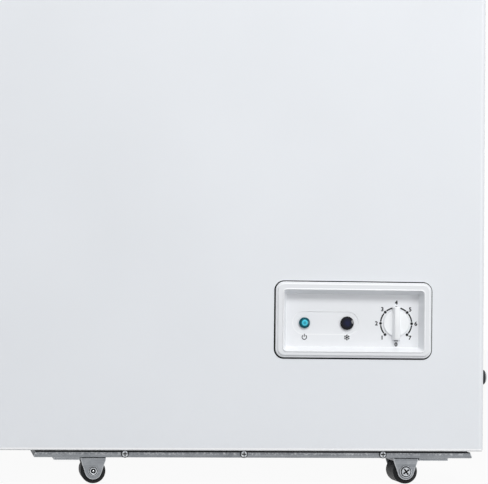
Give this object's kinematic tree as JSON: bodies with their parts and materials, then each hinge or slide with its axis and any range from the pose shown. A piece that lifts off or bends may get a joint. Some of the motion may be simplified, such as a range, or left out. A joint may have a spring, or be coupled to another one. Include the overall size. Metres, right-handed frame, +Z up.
{
  "type": "chest freezer",
  "caption": "White top-opening chest freezer with a hinged insulated lid, a stepped inner liner over a machine bay, a recessed front thermostat panel, a hanging wire basket and castors.",
  "frame": {"origin": "on the floor, midway across the cabinet and midway between the handle's front and the hinges' back", "axes": "+X along the front to its right-hand end, seen from the front; +Y from the front to the back; +Z up"},
  "size_m": [1.135, 0.6554, 0.845],
  "materials": {
    "white_paint": "satin",
    "back_paint": "satin",
    "zinc_sheet": "satin",
    "embossed_aluminium": "satin",
    "foam": "matte",
    "frame_plastic": "satin",
    "coil_tube": "satin",
    "copper": "satin",
    "bright_zinc": "polished",
    "black_plastic": "matte",
    "white_plastic": "satin",
    "power_lens": "gloss",
    "run_lens": "gloss",
    "grey_plastic": "matte",
    "dark_rubber": "matte",
    "gasket": "matte",
    "black_paint": "gloss",
    "coated_wire": "satin"
  },
  "bodies": {
    "cabinet": {"back_panel": "back_paint", "back_screws": "bright_zinc", "base_screws": "bright_zinc", "base_tray": "zinc_sheet", "bottom_panel": "zinc_sheet", "capillary_tube": "copper", "castor_axles": "bright_zinc", "castor_brackets": "zinc_sheet", "compressor_bolts": "bright_zinc", "compressor_foot": "black_paint", "compressor_grommets": "dark_rubber", "compressor_shell": "black_paint", "condenser_coil": "coil_tube", "control_bezel": "white_plastic", "cord_gland": "dark_rubber", "discharge_pipe": "copper", "drain_tube": "grey_plastic", "evaporator_coil": "coil_tube", "filter_drier": "copper", "foam_insulation": "foam", "hinge_bases": "zinc_sheet", "hinge_pins": "bright_zinc", "left_base_tray": "zinc_sheet", "liner_back": "embossed_aluminium", "liner_corners": "embossed_aluminium", "liner_floor": "embossed_aluminium", "liner_front": "embossed_aluminium", "liner_left": "embossed_aluminium", "liner_right": "embossed_aluminium", "liner_riser": "embossed_aluminium", "liner_step": "embossed_aluminium", "outer_wrapper": "white_paint", "power_lamp": "power_lens", "rear_cover": "grey_plastic", "relay_box": "black_plastic", "run_lamp": "run_lens", "side_grille": "grey_plastic", "suction_pipe": "copper", "thermostat_body": "black_plastic", "top_frame": "frame_plastic", "tray_stiffeners": "black_paint"},
    "lid": {"lid_skin": "white_paint", "lid_liner": "frame_plastic", "lid_foam": "foam", "lid_gasket": "gasket", "lid_handle": "white_plastic", "lid_screws": "bright_zinc", "hinge_leaves": "zinc_sheet"},
    "knob": {"thermostat_knob": "white_plastic", "thermostat_shaft": "bright_zinc"},
    "wheel_front_left": {"castor_wheel_front_left": "black_plastic"},
    "wheel_front_inner": {"castor_wheel_front_inner": "black_plastic"},
    "wheel_front_right": {"castor_wheel_front_right": "black_plastic"},
    "wheel_rear_left": {"castor_wheel_rear_left": "black_plastic"},
    "wheel_rear_inner": {"castor_wheel_rear_inner": "black_plastic"},
    "wheel_rear_right": {"castor_wheel_rear_right": "black_plastic"},
    "drain_cap_body": {"drain_cap": "dark_rubber"},
    "drain_plug_body": {"drain_plug": "dark_rubber"},
    "basket": {"wire_basket": "coated_wire"}
  },
  "joints": [
    {"name": "lid_hinge", "type": "hinge", "parent": "cabinet", "child": "lid", "pos_m": [0, 0.32125, 0.7745], "axis": [-1, 0, 0], "range_deg": [0, 80]},
    {"name": "thermostat_turn", "type": "hinge", "parent": "cabinet", "child": "knob", "pos_m": [0.4605, -0.28315, 0.1772], "axis": [0, 1, 0], "range_deg": [-180, 135]},
    {"name": "wheel_front_left_spin", "type": "hinge", "parent": "cabinet", "child": "wheel_front_left", "pos_m": [-0.4732, -0.25565, 0.0135], "axis": [0, 1, 0], "continuous": true},
    {"name": "wheel_front_inner_spin", "type": "hinge", "parent": "cabinet", "child": "wheel_front_inner", "pos_m": [0.1275, -0.25565, 0.0135], "axis": [0, 1, 0], "continuous": true},
    {"name": "wheel_front_right_spin", "type": "hinge", "parent": "cabinet", "child": "wheel_front_right", "pos_m": [0.4732, -0.25565, 0.0135], "axis": [0, 1, 0], "continuous": true},
    {"name": "wheel_rear_left_spin", "type": "hinge", "parent": "cabinet", "child": "wheel_rear_left", "pos_m": [-0.4732, 0.27615, 0.0135], "axis": [0, 1, 0], "continuous": true},
    {"name": "wheel_rear_inner_spin", "type": "hinge", "parent": "cabinet", "child": "wheel_rear_inner", "pos_m": [0.1275, 0.27615, 0.0135], "axis": [0, 1, 0], "continuous": true},
    {"name": "wheel_rear_right_spin", "type": "hinge", "parent": "cabinet", "child": "wheel_rear_right", "pos_m": [0.4732, 0.27615, 0.0135], "axis": [0, 1, 0], "continuous": true},
    {"name": "drain_cap_pull", "type": "slide", "parent": "cabinet", "child": "drain_cap_body", "axis": [1, 0, 0], "range_m": [0, 0.03]},
    {"name": "drain_plug_pull", "type": "slide", "parent": "cabinet", "child": "drain_plug_body", "axis": [-1, 0, 0], "range_m": [0, 0.05]},
    {"name": "basket_slide", "type": "slide", "parent": "cabinet", "child": "basket", "axis": [-1, 0, 0], "range_m": [0, 0.64]}
  ]
}
